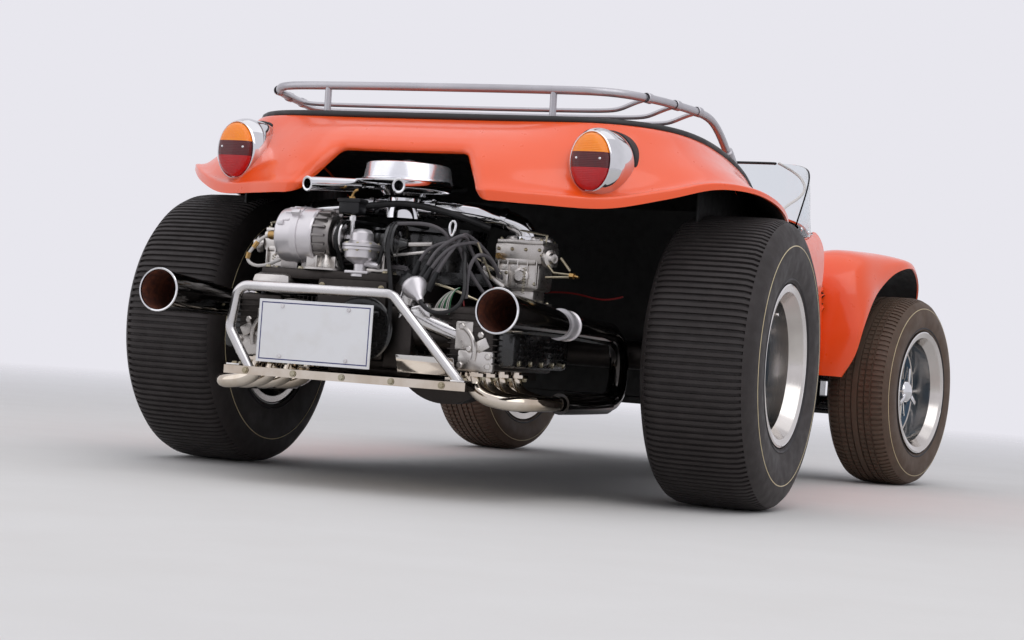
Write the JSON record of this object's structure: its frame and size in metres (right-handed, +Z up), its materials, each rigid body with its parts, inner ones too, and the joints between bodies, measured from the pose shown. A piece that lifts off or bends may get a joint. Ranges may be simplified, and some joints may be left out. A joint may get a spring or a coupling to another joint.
{
  "type": "dune buggy",
  "caption": "Open glass-fibre dune buggy with flared fenders, exposed flat-six rear engine, megaphone exhausts and a deck rack.",
  "frame": {"origin": "on the ground under the middle of the car's bounding box", "axes": "-Y towards the front of the car, +X towards its left side, +Z up"},
  "size_m": [1.8106, 3.307, 1.041],
  "materials": {
    "body_paint": "gloss",
    "clear_screen": "clear",
    "black_paint": "satin",
    "tyre": "matt",
    "alloy": "polished",
    "chrome": "polished",
    "cast_alloy": "as cast",
    "vinyl": "grained",
    "lens_red": "gloss",
    "plate_blank": "gloss",
    "grey_tube": "gloss",
    "black_plastic": "gloss"
  },
  "bodies": {
    "chassis": {"body_shell": "body_paint", "windscreen": "clear_screen", "dash_panel": "body_paint", "floor_pan": "black_paint", "front_beam": "black_paint", "transaxle": "black_paint", "engine_block": "cast_alloy", "engine_shroud": "black_paint", "air_cleaner": "chrome", "alternator": "cast_alloy", "bumper_hoop": "chrome", "skid_tray": "chrome", "licence_plate": "plate_blank", "luggage_rack": "grey_tube", "steering_column": "black_paint", "gear_lever": "chrome", "carburettor_left": "cast_alloy", "exhaust_left": "chrome", "megaphone_left": "chrome", "tail_lamp_left": "lens_red", "seat_left": "vinyl", "carburettor_right": "cast_alloy", "exhaust_right": "chrome", "megaphone_right": "chrome", "tail_lamp_right": "lens_red", "seat_right": "vinyl"},
    "wheel_rear_left": {"rear_tyre_left": "tyre", "rear_rim_left": "alloy"},
    "wheel_rear_right": {"rear_tyre_right": "tyre", "rear_rim_right": "alloy"},
    "wheel_front_left": {"front_tyre_left": "tyre", "front_rim_left": "alloy"},
    "wheel_front_right": {"front_tyre_right": "tyre", "front_rim_right": "alloy"},
    "knuckle_left": {"knuckle_left": "black_paint"},
    "knuckle_right": {"knuckle_right": "black_paint"},
    "tie_rod": {"tie_rod": "black_paint"},
    "steering_wheel": {"steering_wheel": "black_plastic"}
  },
  "joints": [
    {"name": "rear_left_wheel_spin", "type": "hinge", "parent": "chassis", "child": "wheel_rear_left", "pos_m": [0.7387, 0.764, 0.377], "axis": [1, 0, 0], "continuous": true},
    {"name": "steer_left", "type": "hinge", "parent": "chassis", "child": "knuckle_left", "pos_m": [0.64, -1.268, 0.326], "axis": [0, 0, 1], "range_deg": [-11.8, 32.2]},
    {"name": "front_left_wheel_spin", "type": "hinge", "parent": "knuckle_left", "child": "wheel_front_left", "pos_m": [0.74295, -1.28652, 0.326], "axis": [0.9842, -0.1771, 0], "continuous": true},
    {"name": "rear_right_wheel_spin", "type": "hinge", "parent": "chassis", "child": "wheel_rear_right", "pos_m": [-0.7387, 0.764, 0.377], "axis": [1, 0, 0], "continuous": true},
    {"name": "steer_right", "type": "hinge", "parent": "chassis", "child": "knuckle_right", "pos_m": [-0.64, -1.268, 0.326], "axis": [0, 0, 1], "range_deg": [-11.8, 32.2]},
    {"name": "front_right_wheel_spin", "type": "hinge", "parent": "knuckle_right", "child": "wheel_front_right", "pos_m": [-0.74295, -1.24948, 0.326], "axis": [0.9842, -0.1771, 0], "continuous": true},
    {"name": "tie_rod_slide", "type": "slide", "parent": "chassis", "child": "tie_rod", "axis": [1, 0, 0], "range_m": [-0.0729, 0.0274]},
    {"name": "steering_wheel_turn", "type": "hinge", "parent": "chassis", "child": "steering_wheel", "pos_m": [0.29, -0.3, 0.8], "axis": [0, 0.9404, 0.3401], "range_deg": [-95.4, 258.6]}
  ],
  "couplings": [
    {"joint": "steer_right", "follows": "steer_left", "ratio": 1},
    {"joint": "tie_rod_slide", "follows": "steer_left", "m_per_rad": -0.12795},
    {"joint": "steering_wheel_turn", "follows": "steer_left", "ratio": 8}
  ]
}
